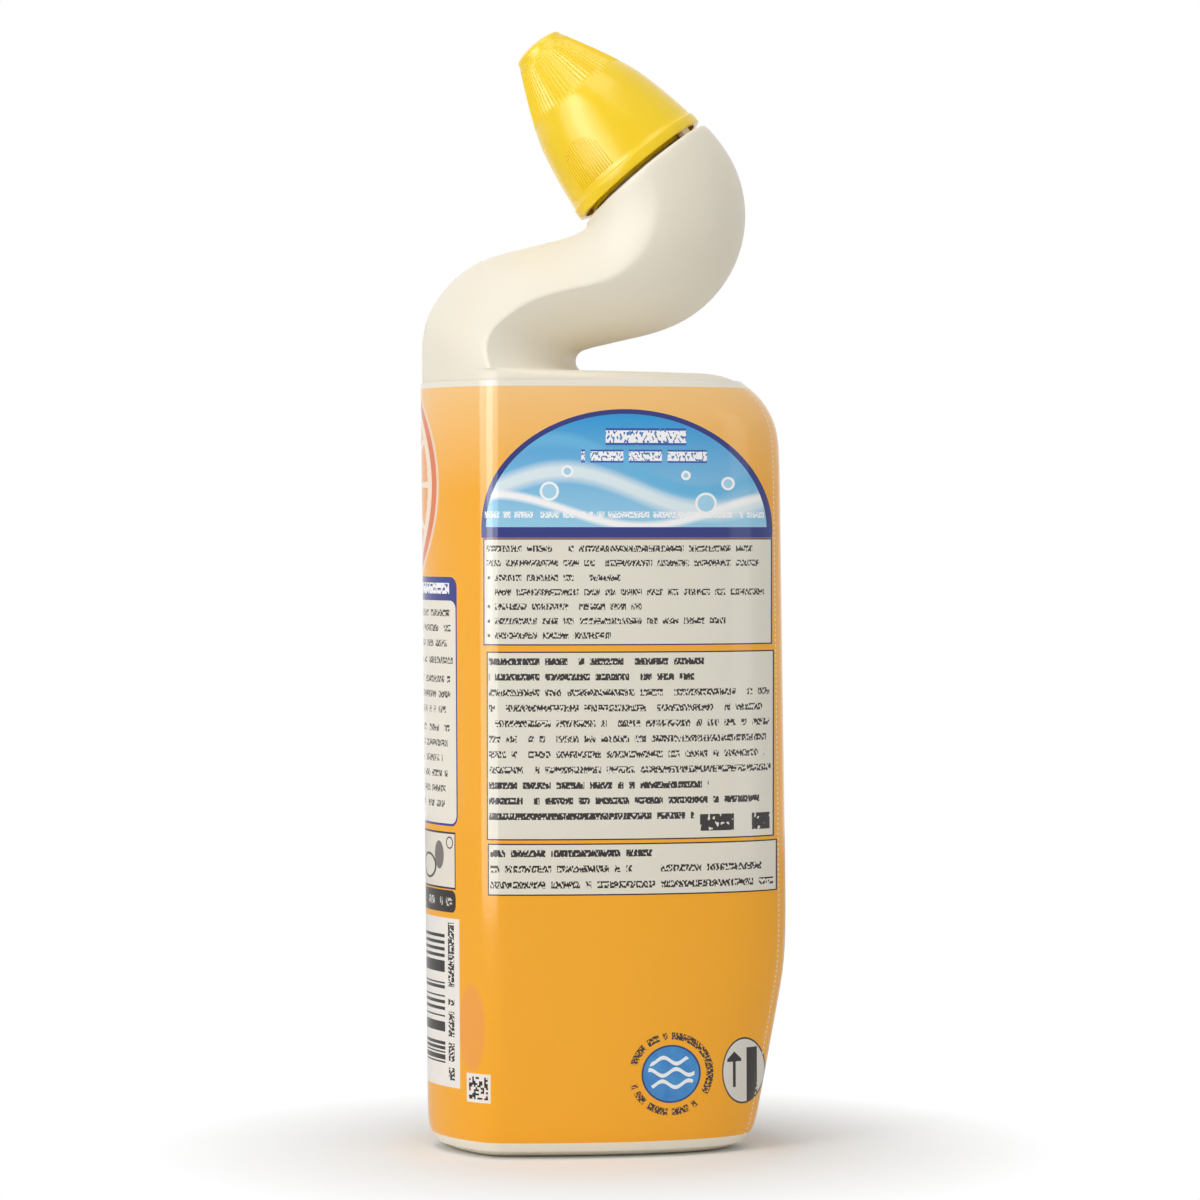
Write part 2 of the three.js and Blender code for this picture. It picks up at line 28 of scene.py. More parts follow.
# Body section, as the solids have it
BODY_WIDTH = 94.4
BODY_DEPTH = 55
SHOULDER_HEIGHT = 198.6
RIDGE_X = -27.3
TALL_LEAN = 1.9
TALL_FLATNESS = 0.42
RIDGE_RUN = 35.2  # along the section, from the middle of the tall end to the ridge
FILM_STAND_OFF = 0.45  # how far the film stands outside the bottle's own section
PRINT_FOOT = 4.2
PRINT_TOP = 194.6
FACE_START = RIDGE_RUN - RIDGE_X  # added to X, gives the place across the sleeve's broad face
END_REACH = 24.6  # how far the tall end's own print goes to each side
END_SLICE = ((-11, 170), 26, 11)  # centre, radius and wedges of the slice there

# Mouth: the rim plane's centre and the axis that the cap comes off along
MOUTH_TILT = 39.8
MOUTH = Vector((9.08, 0, 250.44)) * MM
FINISH_RADIUS = 12.6

# Cap
CAP_HEIGHT = 42.4
CAP_RIM_RADIUS = 19.6
CAP_BAND = 3
CAP_STEP = 0.5
CAP_WAIST_HEIGHT = 20
CAP_WAIST_RADIUS = 15.9
CAP_TIP_RADIUS = 6.8
CAP_TIP_EDGE = 1.3
CAP_WALL = 1.2
CAP_COLLAR_RADIUS = 14.3
FLUTES = 72
FLUTE_START = 25
FLUTE_END = 38.4
PAD_WIDTH = 11.5
PAD_BOTTOM = 4.2
PAD_TOP = 15.5
PAD_RIB_PITCH = 0.82
PAD_RIB_DEPTH = 0.36
PAD_ANGLE = -122
THREAD_PITCH = 4
THREAD_TURNS = 1.75
THREAD_HALF_WIDTH = 0.9

# Inks that are used more than once
NAVY = "#16277F"
ROYAL_BLUE = "#26318A"
WHITE = "#FFFFFF"
OFF_WHITE = "#F7F1EA"
PAPER = "#EAE5D6"
TEXT_INK = "#2C2626"
BROWN_INK = "#3B3532"
GREY_INK = "#3B3330"
FRAME_INK = "#241C1A"
PICTURE_INK = "#2A2523"
SHAPE_INK = "#2B2726"
CODE_INK = "#161313"
BOX_FRAME = 0.35  # line width round the boxes of print

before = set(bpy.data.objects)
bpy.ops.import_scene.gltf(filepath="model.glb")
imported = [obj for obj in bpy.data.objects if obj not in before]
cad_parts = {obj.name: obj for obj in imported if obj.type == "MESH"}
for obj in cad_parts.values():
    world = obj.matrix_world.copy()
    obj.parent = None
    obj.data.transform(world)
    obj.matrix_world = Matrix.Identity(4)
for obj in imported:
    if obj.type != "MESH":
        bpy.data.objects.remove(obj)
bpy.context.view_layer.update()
bpy.ops.object.select_all(action="DESELECT")


def linear(code):
    """An sRGB hex colour as linear red, green, blue and alpha."""
    parts = [int(code[i:i + 2], 16) / 255 for i in (1, 3, 5)]
    return (*(p / 12.92 if p <= 0.04045 else ((p + 0.055) / 1.055) ** 2.4 for p in parts), 1)


def add(tree, kind, inputs, output=0, **settings):
    """Adds a node with its settings and links, and returns one of its outputs."""
    node = tree.nodes.new("ShaderNode" + kind)
    for name, value in settings.items():
        setattr(node, name, value)
    for socket, value in inputs.items():
        if isinstance(value, bpy.types.NodeSocket):
            tree.links.new(value, node.inputs[socket])
        else:
            node.inputs[socket].default_value = value
    return node.outputs[output] if node.outputs else node


def new_material(name):
    """A new material and its empty node tree."""
    material = bpy.data.materials.new(name)
    material.use_nodes = True
    material.node_tree.nodes.clear()
    return material, material.node_tree


# Print

def panel_distance(tree, across, up, left, right, bottom, top, corner=0.0):
    """How far a place is outside a printed panel with round corners, in millimetres."""
    middle_across = add(tree, "Math", {0: across, 1: (left + right) / 2}, operation="SUBTRACT")
    middle_up = add(tree, "Math", {0: up, 1: (bottom + top) / 2}, operation="SUBTRACT")
    beside = add(tree, "Math", {0: add(tree, "Math", {0: middle_across}, operation="ABSOLUTE"),
                                1: (right - left) / 2 - corner}, operation="SUBTRACT")
    above = add(tree, "Math", {0: add(tree, "Math", {0: middle_up}, operation="ABSOLUTE"),
                               1: (top - bottom) / 2 - corner}, operation="SUBTRACT")
    if corner == 0:
        return add(tree, "Math", {0: beside, 1: above}, operation="MAXIMUM")
    corner_way = add(tree, "CombineXYZ", {
        0: add(tree, "Math", {0: beside, 1: 0.0}, operation="MAXIMUM"),
        1: add(tree, "Math", {0: above, 1: 0.0}, operation="MAXIMUM")})
    length = add(tree, "VectorMath", {0: corner_way}, output=1, operation="LENGTH")
    return add(tree, "Math", {0: length, 1: corner}, operation="SUBTRACT")


def oval_distance(tree, across, up, centre, radii):
    """How far a place is outside a printed oval, in millimetres along its shorter radius."""
    beside = add(tree, "Math", {
        0: add(tree, "Math", {0: across, 1: centre[0]}, operation="SUBTRACT"),
        1: radii[0]}, operation="DIVIDE")
    above = add(tree, "Math", {
        0: add(tree, "Math", {0: up, 1: centre[1]}, operation="SUBTRACT"),
        1: radii[1]}, operation="DIVIDE")
    place = add(tree, "CombineXYZ", {0: beside, 1: above})
    length = add(tree, "VectorMath", {0: place}, output=1, operation="LENGTH")
    return add(tree, "Math", {
        0: add(tree, "Math", {0: length, 1: 1.0}, operation="SUBTRACT"),
        1: min(radii)}, operation="MULTIPLY")


def within(tree, distance, margin=0.0):
    """A mask that is 1 where a distance is under a margin."""
    return add(tree, "Math", {0: distance, 1: margin}, operation="LESS_THAN")


def both(tree, first, second):
    """Two masks, or a mask and a share, taken together."""
    return add(tree, "Math", {0: first, 1: second}, operation="MULTIPLY")


def inked(tree, below, mask, colour):
    """Prints an ink over what is below it, where the mask is 1."""
    ink = linear(colour) if isinstance(colour, str) else colour
    return add(tree, "Mix", {0: mask, 6: below, 7: ink}, output=2, data_type="RGBA")


def line_marks(tree, across, up, left, right, top, pitch, rows, weight, ragged, seed,
               height=0.44):
    """Rows of small unreadable marks that stand for printed lines, as a mask."""
    down = add(tree, "Math", {0: add(tree, "Math", {0: top, 1: up}, operation="SUBTRACT"),
                              1: pitch}, operation="DIVIDE")
    row = add(tree, "Math", {0: down}, operation="FLOOR")
    in_row = add(tree, "Math", {0: down}, operation="FRACT")
    grain = add(tree, "CombineXYZ", {
        0: add(tree, "Math", {0: across, 1: 8.6 / pitch}, operation="MULTIPLY"),
        1: add(tree, "Math", {0: add(tree, "Math", {0: row, 1: 7.3}, operation="MULTIPLY"),
                              1: add(tree, "Math", {0: in_row, 1: 4.6}, operation="MULTIPLY")},
               operation="ADD"),
        2: seed})
    strokes = add(tree, "TexNoise", {"Vector": grain, "Scale": 1.0, "Detail": 0.0})
    ink = add(tree, "Math", {0: strokes, 1: 1 - weight}, operation="GREATER_THAN")
    off_middle = add(tree, "Math", {
        0: add(tree, "Math", {0: in_row, 1: 0.5}, operation="SUBTRACT")}, operation="ABSOLUTE")
    band = within(tree, off_middle, height / 2)
    cell = add(tree, "CombineXYZ", {
        0: add(tree, "Math", {
            0: add(tree, "Math", {0: across, 1: 0.36 * pitch}, operation="DIVIDE")},
            operation="FLOOR"),
        1: row, 2: seed + 3})
    words = add(tree, "Math", {0: add(tree, "TexWhiteNoise", {0: cell}), 1: 0.15},
                operation="GREATER_THAN")
    row_luck = add(tree, "TexWhiteNoise", {0: add(tree, "CombineXYZ", {0: row, 1: seed + 11.0})})
    end = add(tree, "Math", {0: row_luck, 1: -ragged * (right - left), 2: right},
              operation="MULTIPLY_ADD")
    before_end = add(tree, "Math", {0: across, 1: end}, operation="LESS_THAN")
    field = within(tree, panel_distance(tree, across, up, left, right, top - rows * pitch, top))
    return both(tree, both(tree, both(tree, ink, band), both(tree, words, before_end)), field)


def citrus_slice(tree, below, across, up, centre, radius, wedges):
    """Prints a round slice of citrus fruit: peel, pith and juicy wedges."""
    distance = oval_distance(tree, across, up, centre, (radius, radius))
    beside = add(tree, "Math", {0: across, 1: centre[0]}, operation="SUBTRACT")
    above = add(tree, "Math", {0: up, 1: centre[1]}, operation="SUBTRACT")
    angle = add(tree, "Math", {0: above, 1: beside}, operation="ARCTAN2")
    share = add(tree, "Math", {
        0: add(tree, "Math", {0: angle, 1: wedges / math.tau}, operation="MULTIPLY"),
        1: 50.0}, operation="ADD")
    off_wedge = add(tree, "Math", {
        0: add(tree, "Math", {0: add(tree, "Math", {0: share}, operation="FRACT"), 1: 0.5},
               operation="SUBTRACT")}, operation="ABSOLUTE")
    wedge = within(tree, off_wedge, 0.43)
    flesh = both(tree, within(tree, distance, -0.2 * radius), wedge)
    core = add(tree, "Math", {0: distance, 1: -0.88 * radius}, operation="GREATER_THAN")
    place = add(tree, "CombineXYZ", {0: beside, 1: above})
    cells = add(tree, "TexVoronoi", {"Vector": place, "Scale": 0.7})
    juice = add(tree, "Mix", {0: cells, 6: linear("#F58A2C"), 7: linear("#F9B157")},
                output=2, data_type="RGBA")
    printed = inked(tree, below, within(tree, distance, 1.1), "#F6D9BE")
    printed = inked(tree, printed, within(tree, distance), "#E9763A")
    printed = inked(tree, printed, within(tree, distance, -0.1 * radius), "#FBE9CF")
    return inked(tree, printed, both(tree, flesh, core), juice)


def sky_panel(tree, across, up, middle, foot, seed):
    """The colours of the blue panel: sky to pale blue, with white waves and a few bubbles."""
    rise = add(tree, "MapRange", {"Value": up, "From Min": foot, "From Max": foot + 28})
    sky = add(tree, "Mix", {0: rise, 6: linear("#9AD2EE"), 7: linear("#0A9ADC")},
              output=2, data_type="RGBA")
    for offset, bend, width, colour in ((9, 5, 3.2, "#E3F2F8"), (4.2, 4, 1.5, WHITE),
                                        (15.5, 6.5, 2.4, "#64B9E6")):
        swing = add(tree, "Math", {0: add(tree, "Math", {0: across, 1: 0.085, 2: seed + offset},
                                          operation="MULTIPLY_ADD")}, operation="SINE")
        crest = add(tree, "Math", {0: swing, 1: bend, 2: foot + offset}, operation="MULTIPLY_ADD")
        off_crest = add(tree, "Math", {
            0: add(tree, "Math", {0: up, 1: crest}, operation="SUBTRACT")},
            operation="ABSOLUTE")
        soft = add(tree, "MapRange", {"Value": off_crest, "From Min": width,
                                      "From Max": 0.3 * width})
        sky = inked(tree, sky, soft, colour)
    for beside, above, radius in ((-19, 9, 2.1), (-14.5, 14, 1.2), (20, 6, 2.4),
                                  (25.5, 11, 1.4), (15, 13, 0.9)):
        distance = oval_distance(tree, across, up, (middle + beside, foot + above),
                                 (radius, radius))
        rim = within(tree, add(tree, "Math", {0: distance}, operation="ABSOLUTE"), 0.3)
        sky = inked(tree, sky, within(tree, distance), "#A9D9F2")
        sky = inked(tree, sky, rim, WHITE)
    return sky


def text_panel(tree, below, across, up, edges, frame_colour, frame_width):
    """A pale framed box for printed lines."""
    distance = panel_distance(tree, across, up, *edges)
    printed = inked(tree, below, within(tree, distance), frame_colour)
    return inked(tree, printed, within(tree, distance, -frame_width), PAPER)


def face_print(tree, colour, across, up):
    """The broad face that carries the lines of print. Places are in millimetres."""
    at = FACE_START
    # Small matrix near the ridge, and a soft drop over it
    drop = oval_distance(tree, across, up, (28.7, 33), (4.6, 11))
    soft = add(tree, "MapRange", {"Value": drop, "From Min": 0.5, "From Max": -0.5, "To Max": 0.5})
    colour = inked(tree, colour, soft, "#F59A55")
    matrix = panel_distance(tree, across, up, 26.7, 35.1, 14.3, 21.6)
    colour = inked(tree, colour, within(tree, matrix), OFF_WHITE)
    module = add(tree, "CombineXYZ", {
        0: add(tree, "Math", {0: add(tree, "Math", {0: across, 1: 0.6}, operation="DIVIDE")},
               operation="FLOOR"),
        1: add(tree, "Math", {0: add(tree, "Math", {0: up, 1: 0.52}, operation="DIVIDE")},
               operation="FLOOR")})
    dark = both(tree, add(tree, "Math", {0: add(tree, "TexWhiteNoise", {0: module}), 1: 0.5},
                          operation="GREATER_THAN"), within(tree, matrix, -0.8))
    colour = inked(tree, colour, dark, CODE_INK)

    # Arched blue panel over a navy band
    arch_at = at + 6.45
    sky_foot = 159.2
    arch = oval_distance(tree, across, up, (arch_at, 158.6), (36.6, 30.2))
    above_foot = add(tree, "Math", {0: up, 1: 156.5}, operation="GREATER_THAN")
    colour = inked(tree, colour, both(tree, within(tree, arch), above_foot), NAVY)
    arch_field = both(tree, within(tree, arch, -1.2),
                      add(tree, "Math", {0: up, 1: sky_foot}, operation="GREATER_THAN"))
    sky = sky_panel(tree, across, up, arch_at, sky_foot, 0.6)
    colour = inked(tree, colour, arch_field, sky)
    for left, right, top, pitch, seed in ((1.5, 21.5, 184.4, 5, 1.0),
                                          (-4.6, 26.7, 178.9, 3.8, 2.0)):
        halo = line_marks(tree, across, up, at + left, at + right, top, pitch, 1, 0.74, 0,
                          seed, 0.86)
        marks = line_marks(tree, across, up, at + left, at + right, top, pitch, 1, 0.6, 0,
                           seed, 0.62)
        colour = inked(tree, colour, halo, "#2A55A8")
        colour = inked(tree, colour, marks, WHITE)
    small = line_marks(tree, across, up, at - 29, at + 41, 163.6, 2.6, 1, 0.56, 0, 4.0, 0.6)
    colour = inked(tree, colour, small, WHITE)

    # Upper box with its indented list
    colour = text_panel(tree, colour, across, up, (at - 29.5, at + 43, 129.5, 156.4),
                        "#2A2E63", BOX_FRAME)
    marks = line_marks(tree, across, up, at - 28.5, at + 42, 155.6, 3.62, 2, 0.52, 0.12, 5.0)
    colour = inked(tree, colour, marks, TEXT_INK)
    marks = line_marks(tree, across, up, at - 26.2, at + 42.5, 148.3, 3.62, 5, 0.52, 0.6, 6.0)
    colour = inked(tree, colour, marks, TEXT_INK)
    for up_at in (146.5, 139.3, 135.6, 132.0):
        dot = oval_distance(tree, across, up, (at - 27.8, up_at), (0.42, 0.42))
        colour = inked(tree, colour, within(tree, dot), TEXT_INK)

    # Middle box
    colour = text_panel(tree, colour, across, up, (at - 28.5, at + 43.5, 80.6, 128),
                        FRAME_INK, BOX_FRAME)
    for top, rows, weight, ragged, seed in (
            (127.4, 2, 0.62, 0.45, 7.0), (119.6, 6, 0.52, 0.06, 8.0),
            (96.3, 3, 0.62, 0.3, 9.0)):
        marks = line_marks(tree, across, up, at - 27.8, at + 42.8, top, 3.88, rows, weight,
                           ragged, seed)
        colour = inked(tree, colour, marks, TEXT_INK)
    quiet = within(tree, panel_distance(tree, across, up, at + 23.5, at + 43, 81.3, 88.6))
    colour = inked(tree, colour, quiet, PAPER)
    marks = line_marks(tree, across, up, at + 25, at + 42.6, 87.8, 6.2, 1, 0.66, 0, 10.0, 0.68)
    colour = inked(tree, colour, marks, TEXT_INK)

    # Lower box
    colour = text_panel(tree, colour, across, up, (at - 28.2, at + 44.3, 66.7, 79.8),
                        FRAME_INK, BOX_FRAME)
    for top, rows, weight, ragged, seed in ((79.3, 1, 0.62, 0.9, 12.0),
                                            (75.4, 2, 0.53, 0.05, 13.0)):
        marks = line_marks(tree, across, up, at - 27.4, at + 43.4, top, 4.0, rows, weight,
                           ragged, seed)
        colour = inked(tree, colour, marks, TEXT_INK)

    # Round blue token inside a ring of marks
    centre = (at + 17.8, 21.3)
    disc = oval_distance(tree, across, up, centre, (7.4, 7.4))
    beside = add(tree, "Math", {0: across, 1: centre[0]}, operation="SUBTRACT")
    above = add(tree, "Math", {0: up, 1: centre[1]}, operation="SUBTRACT")
    angle = add(tree, "Math", {0: above, 1: beside}, operation="ARCTAN2")
    around = add(tree, "Math", {0: angle, 1: 9.4}, operation="MULTIPLY")
    ring = line_marks(tree, around, disc, -27, 27, 3.7, 2.9, 1, 0.58, 0, 14.0, 0.62)
    colour = inked(tree, colour, ring, GREY_INK)
    colour = inked(tree, colour, within(tree, disc), "#1D3F78")
    place = add(tree, "CombineXYZ", {0: beside, 1: above})
    patches = add(tree, "TexNoise", {"Vector": place, "Scale": 0.24, "Detail": 1.0})
    water = add(tree, "Mix", {0: patches, 6: linear("#1E6FC2"), 7: linear("#4FA6E2")},
                output=2, data_type="RGBA")
    colour = inked(tree, colour, within(tree, disc, -0.45), water)
    for wave in (-2.6, 0.4, 3.4):
        swing = add(tree, "Math", {
            0: add(tree, "Math", {0: beside, 1: 0.95, 2: wave}, operation="MULTIPLY_ADD")},
            operation="SINE")
        crest = add(tree, "Math", {0: swing, 1: 0.8, 2: wave}, operation="MULTIPLY_ADD")
        off_wave = add(tree, "Math", {
            0: add(tree, "Math", {0: above, 1: crest}, operation="SUBTRACT")},
            operation="ABSOLUTE")
        line = both(tree, within(tree, off_wave, 0.5), within(tree, disc, -1.6))
        colour = inked(tree, colour, line, "#F4FAFC")

    # Oval picture of a strip being pulled
    oval = oval_distance(tree, across, up, (at + 35.9, 21.1), (5.4, 8.6))
    colour = inked(tree, colour, within(tree, oval), GREY_INK)
    colour = inked(tree, colour, within(tree, oval, -0.3), "#E2DED6")
    bar = both(tree, within(tree, panel_distance(tree, across, up, at + 36.6, at + 39.2, 12, 27)),
               within(tree, oval, -0.3))
    colour = inked(tree, colour, bar, SHAPE_INK)
    stem = both(tree, within(tree, panel_distance(tree, across, up, at + 33.2, at + 33.9, 17, 24)),
                within(tree, oval, -0.8))
    colour = inked(tree, colour, stem, SHAPE_INK)
    beside_stem = add(tree, "Math", {
        0: add(tree, "Math", {0: across, 1: at + 33.55}, operation="SUBTRACT")},
        operation="ABSOLUTE")
    slope = add(tree, "Math", {0: beside_stem, 1: 1.1}, operation="MULTIPLY")
    tip = add(tree, "Math", {0: 26.2, 1: slope}, operation="SUBTRACT")
    head = both(tree, add(tree, "Math", {0: up, 1: tip}, operation="LESS_THAN"),
                within(tree, panel_distance(tree, across, up, at + 31.8, at + 35.3, 23.6, 26.4)))
    return inked(tree, colour, head, SHAPE_INK)


def end_print(tree, colour, across, up):
    """The round tall end: how-to panel, picture strip and bar code."""
    colour = citrus_slice(tree, colour, across, up, *END_SLICE)
    panel = panel_distance(tree, across, up, -23.6, 23.6, 83.5, 146.6, 2.6)
    colour = inked(tree, colour, within(tree, panel), ROYAL_BLUE)
    body = panel_distance(tree, across, up, -23.1, 23.1, 84.1, 140.6, 2.2)
    colour = inked(tree, colour, within(tree, body), "#F2EBDD")
    header = line_marks(tree, across, up, -16, 20.5, 146.0, 4.6, 1, 0.62, 0, 20.0, 0.6)
    colour = inked(tree, colour, header, WHITE)
    for top, rows, ragged, seed in ((139.4, 3, 0.1, 21.0), (127.4, 1, 0.2, 22.0),
                                    (122.6, 3, 0.15, 23.0), (110.2, 6, 0.12, 24.0)):
        marks = line_marks(tree, across, up, -21.5, 22.2, top, 3.85, rows, 0.53, ragged, seed)
        colour = inked(tree, colour, marks, BROWN_INK)

    # Two framed pictures of the tilted bottle over a dark strip
    picture = panel_distance(tree, across, up, -22.6, 22.6, 67.5, 82)
    colour = inked(tree, colour, within(tree, picture), PICTURE_INK)
    for left, right in ((-22.2, -0.3), (0.3, 22.2)):
        field = within(tree, panel_distance(tree, across, up, left, right, 68, 81.5))
        colour = inked(tree, colour, field, "#EFE8DA")
        drop = oval_distance(tree, across, up, ((left + right) / 2 - 3, 73), (4.6, 3))
        outline = within(tree, add(tree, "Math", {0: drop}, operation="ABSOLUTE"), 0.3)
        colour = inked(tree, colour, outline, BROWN_INK)
        spout = oval_distance(tree, across, up, ((left + right) / 2 + 3.6, 76), (2.4, 3.6))
        colour = inked(tree, colour, within(tree, spout), "#7B756F")
        count = oval_distance(tree, across, up, (right - 2.2, 79.3), (1.4, 1.4))
        ring = within(tree, add(tree, "Math", {0: count}, operation="ABSOLUTE"), 0.18)
        colour = inked(tree, colour, ring, PICTURE_INK)
    strip = panel_distance(tree, across, up, -22.6, 22.6, 61.6, 67.2, 1.8)
    colour = inked(tree, colour, within(tree, strip), "#231D1C")
    pale = line_marks(tree, across, up, 8, 21, 66.4, 4.2, 1, 0.5, 0, 26.0, 0.5)
    colour = inked(tree, colour, pale, "#D8D2C8")

    # Bar code, its bars level, beside a column of marks
    field = panel_distance(tree, across, up, -24, 24, 17.2, 60.1)
    colour = inked(tree, colour, within(tree, field), OFF_WHITE)
    bar_row = add(tree, "Math", {
        0: add(tree, "Math", {0: up, 1: 0.42}, operation="DIVIDE")}, operation="FLOOR")
    luck = add(tree, "TexWhiteNoise", {0: add(tree, "CombineXYZ", {0: bar_row, 1: 3.0})})
    bars = both(tree, add(tree, "Math", {0: luck, 1: 0.48}, operation="GREATER_THAN"),
                within(tree, panel_distance(tree, across, up, -16, 17.4, 22, 57)))
    colour = inked(tree, colour, bars, CODE_INK)
    column = line_marks(tree, up, across, 19, 59, 22.6, 4.4, 1, 0.56, 0, 28.0, 0.62)
    return inked(tree, colour, column, PICTURE_INK)


def show_print(tree, colour, across, up):
    """The other broad face: a plain blue shield, a white scroll with waves, citrus slices."""
    middle = FACE_START + 7
    past_end = add(tree, "Math", {0: across, 1: -1.0}, operation="MULTIPLY")
    colour = citrus_slice(tree, colour, past_end, up, *END_SLICE)
    shield = oval_distance(tree, across, up, (middle, 136), (37, 47))
    colour = inked(tree, colour, within(tree, shield), NAVY)
    colour = inked(tree, colour, within(tree, shield, -1.4), "#F4F7FA")
    sky = sky_panel(tree, across, up, middle, 128, 2.2)
    colour = inked(tree, colour, within(tree, shield, -2.6), sky)
    scroll = panel_distance(tree, across, up, middle - 33, middle + 33, 132, 152, 6)
    colour = inked(tree, colour, within(tree, scroll), NAVY)
    colour = inked(tree, colour, within(tree, scroll, -1.1), WHITE)
    for rise in (0, 5.2, 10.4):
        swing = add(tree, "Math", {0: add(tree, "Math", {0: across, 1: 0.3, 2: 0.1 * rise},
                                          operation="MULTIPLY_ADD")}, operation="SINE")
        crest = add(tree, "Math", {0: swing, 1: 1.5, 2: 136.8 + rise}, operation="MULTIPLY_ADD")
        off_crest = add(tree, "Math", {
            0: add(tree, "Math", {0: up, 1: crest}, operation="SUBTRACT")},
            operation="ABSOLUTE")
        wave = both(tree, within(tree, off_crest, 1.0), within(tree, scroll, -4.5))
        colour = inked(tree, colour, wave, ROYAL_BLUE if rise != 5.2 else "#F08A2E")
    colour = citrus_slice(tree, colour, across, up, (middle + 9, 84), 24, 10)
    colour = citrus_slice(tree, colour, across, up, (middle - 19, 68), 14, 9)
    foot_band = panel_distance(tree, across, up, middle - 34, middle + 34, 14, 34, 4)
    colour = inked(tree, colour, within(tree, foot_band), PAPER)
    marks = line_marks(tree, across, up, middle - 31, middle + 31, 32.4, 4.2, 4, 0.53, 0.2, 33.0)
    return inked(tree, colour, marks, TEXT_INK)


# Materials

def film_material(side, drawn):
    """Shrink film, reverse-printed PET: a hard, even gloss over flat inks, faintly rippled."""
    material, tree = new_material("printed_shrink_film_" + side)
    place = add(tree, "TexCoord", {}, output=3)
    up = add(tree, "Math", {0: add(tree, "SeparateXYZ", {0: place}, output=2), 1: 1000.0},
             operation="MULTIPLY")
    depth = add(tree, "SeparateXYZ", {0: place}, output=1)
    wrap = add(tree, "Attribute", {}, output=2, attribute_name="wrap")
    if side == "back":
        wrap = add(tree, "Math", {0: wrap, 1: -1.0}, operation="MULTIPLY")
    height = add(tree, "MapRange", {"Value": up, "From Min": 168, "From Max": 195})
    orange = add(tree, "Mix", {0: height, 6: linear("#FFB010"), 7: linear("#FECB80")},
                 output=2, data_type="RGBA")
    colour = drawn(tree, orange, wrap, up)
    # Bare film over the bottle's own colour along both cut edges
    printed = panel_distance(tree, wrap, up, -400, 400, PRINT_FOOT, PRINT_TOP)
    bare = add(tree, "Math", {0: printed, 1: 0.0}, operation="GREATER_THAN")
    colour = inked(tree, colour, bare, "#F3EDDF")
    # Tear line of fine cuts down both sides of the free end
    off_middle = add(tree, "Math", {0: depth}, operation="ABSOLUTE")
    off_line = add(tree, "Math", {
        0: add(tree, "Math", {0: off_middle, 1: 0.0055}, operation="SUBTRACT")},
        operation="ABSOLUTE")
    cuts = within(tree, add(tree, "Math", {
        0: add(tree, "Math", {0: up, 1: 1.3}, operation="DIVIDE")}, operation="FRACT"), 0.55)
    tear = both(tree, both(tree, within(tree, off_line, 0.00025), cuts),
                add(tree, "Math", {0: wrap, 1: FACE_START + 20}, operation="GREATER_THAN"))
    colour = inked(tree, colour, tear, "#FBE7C4")
    ripple = add(tree, "TexNoise", {
        "Vector": add(tree, "Mapping", {0: place, 3: (1.0, 1.0, 0.35)}),
        "Scale": 55.0, "Detail": 1.5})
    grain = add(tree, "TexNoise", {"Vector": place, "Scale": 900.0, "Detail": 1.0})
    both_heights = add(tree, "Math", {0: grain, 1: 0.03, 2: ripple}, operation="MULTIPLY_ADD")
    normal = add(tree, "Bump", {"Strength": 0.35, "Distance": 0.0006, "Height": both_heights})
    shader = add(tree, "BsdfPrincipled", {"Base Color": colour, "Roughness": 0.09, "IOR": 1.54,
                                          "Normal": normal})
    add(tree, "OutputMaterial", {0: shader})
    return material


def hdpe_material():
    """Blow-moulded HDPE: satin, takes in a little light, a fine parting line in its middle."""
    material, tree = new_material("ivory_blow_moulded_hdpe")
    place = add(tree, "TexCoord", {}, output=3)
    off_seam = add(tree, "Math", {0: add(tree, "SeparateXYZ", {0: place}, output=1)},
                   operation="ABSOLUTE")
    seam = add(tree, "MapRange", {"Value": off_seam, "From Min": 0.0, "From Max": 0.0003,
                                  "To Min": 1.0, "To Max": 0.0})
    grain = add(tree, "TexNoise", {"Vector": place, "Scale": 1400.0, "Detail": 2.0})
    waves = add(tree, "TexNoise", {"Vector": place, "Scale": 60.0, "Detail": 1.0})
    height = add(tree, "Math", {
        0: add(tree, "Math", {0: grain, 1: 0.02, 2: seam}, operation="MULTIPLY_ADD"),
        1: waves}, operation="ADD")
    normal = add(tree, "Bump", {"Strength": 0.25, "Distance": 0.00025, "Height": height})
    tint = add(tree, "Mix", {0: waves, 6: linear("#F5EAD3"), 7: linear("#F8EEDB")},
               output=2, data_type="RGBA")
    rough = add(tree, "MapRange", {"Value": grain, "To Min": 0.4, "To Max": 0.52})
    shader = add(tree, "BsdfPrincipled", {
        "Base Color": tint, "Roughness": rough, "IOR": 1.54, "Normal": normal,
        "Subsurface Weight": 0.25, "Subsurface Radius": (1.0, 0.85, 0.6),
        "Subsurface Scale": 0.003})
    add(tree, "OutputMaterial", {0: shader})
    return material


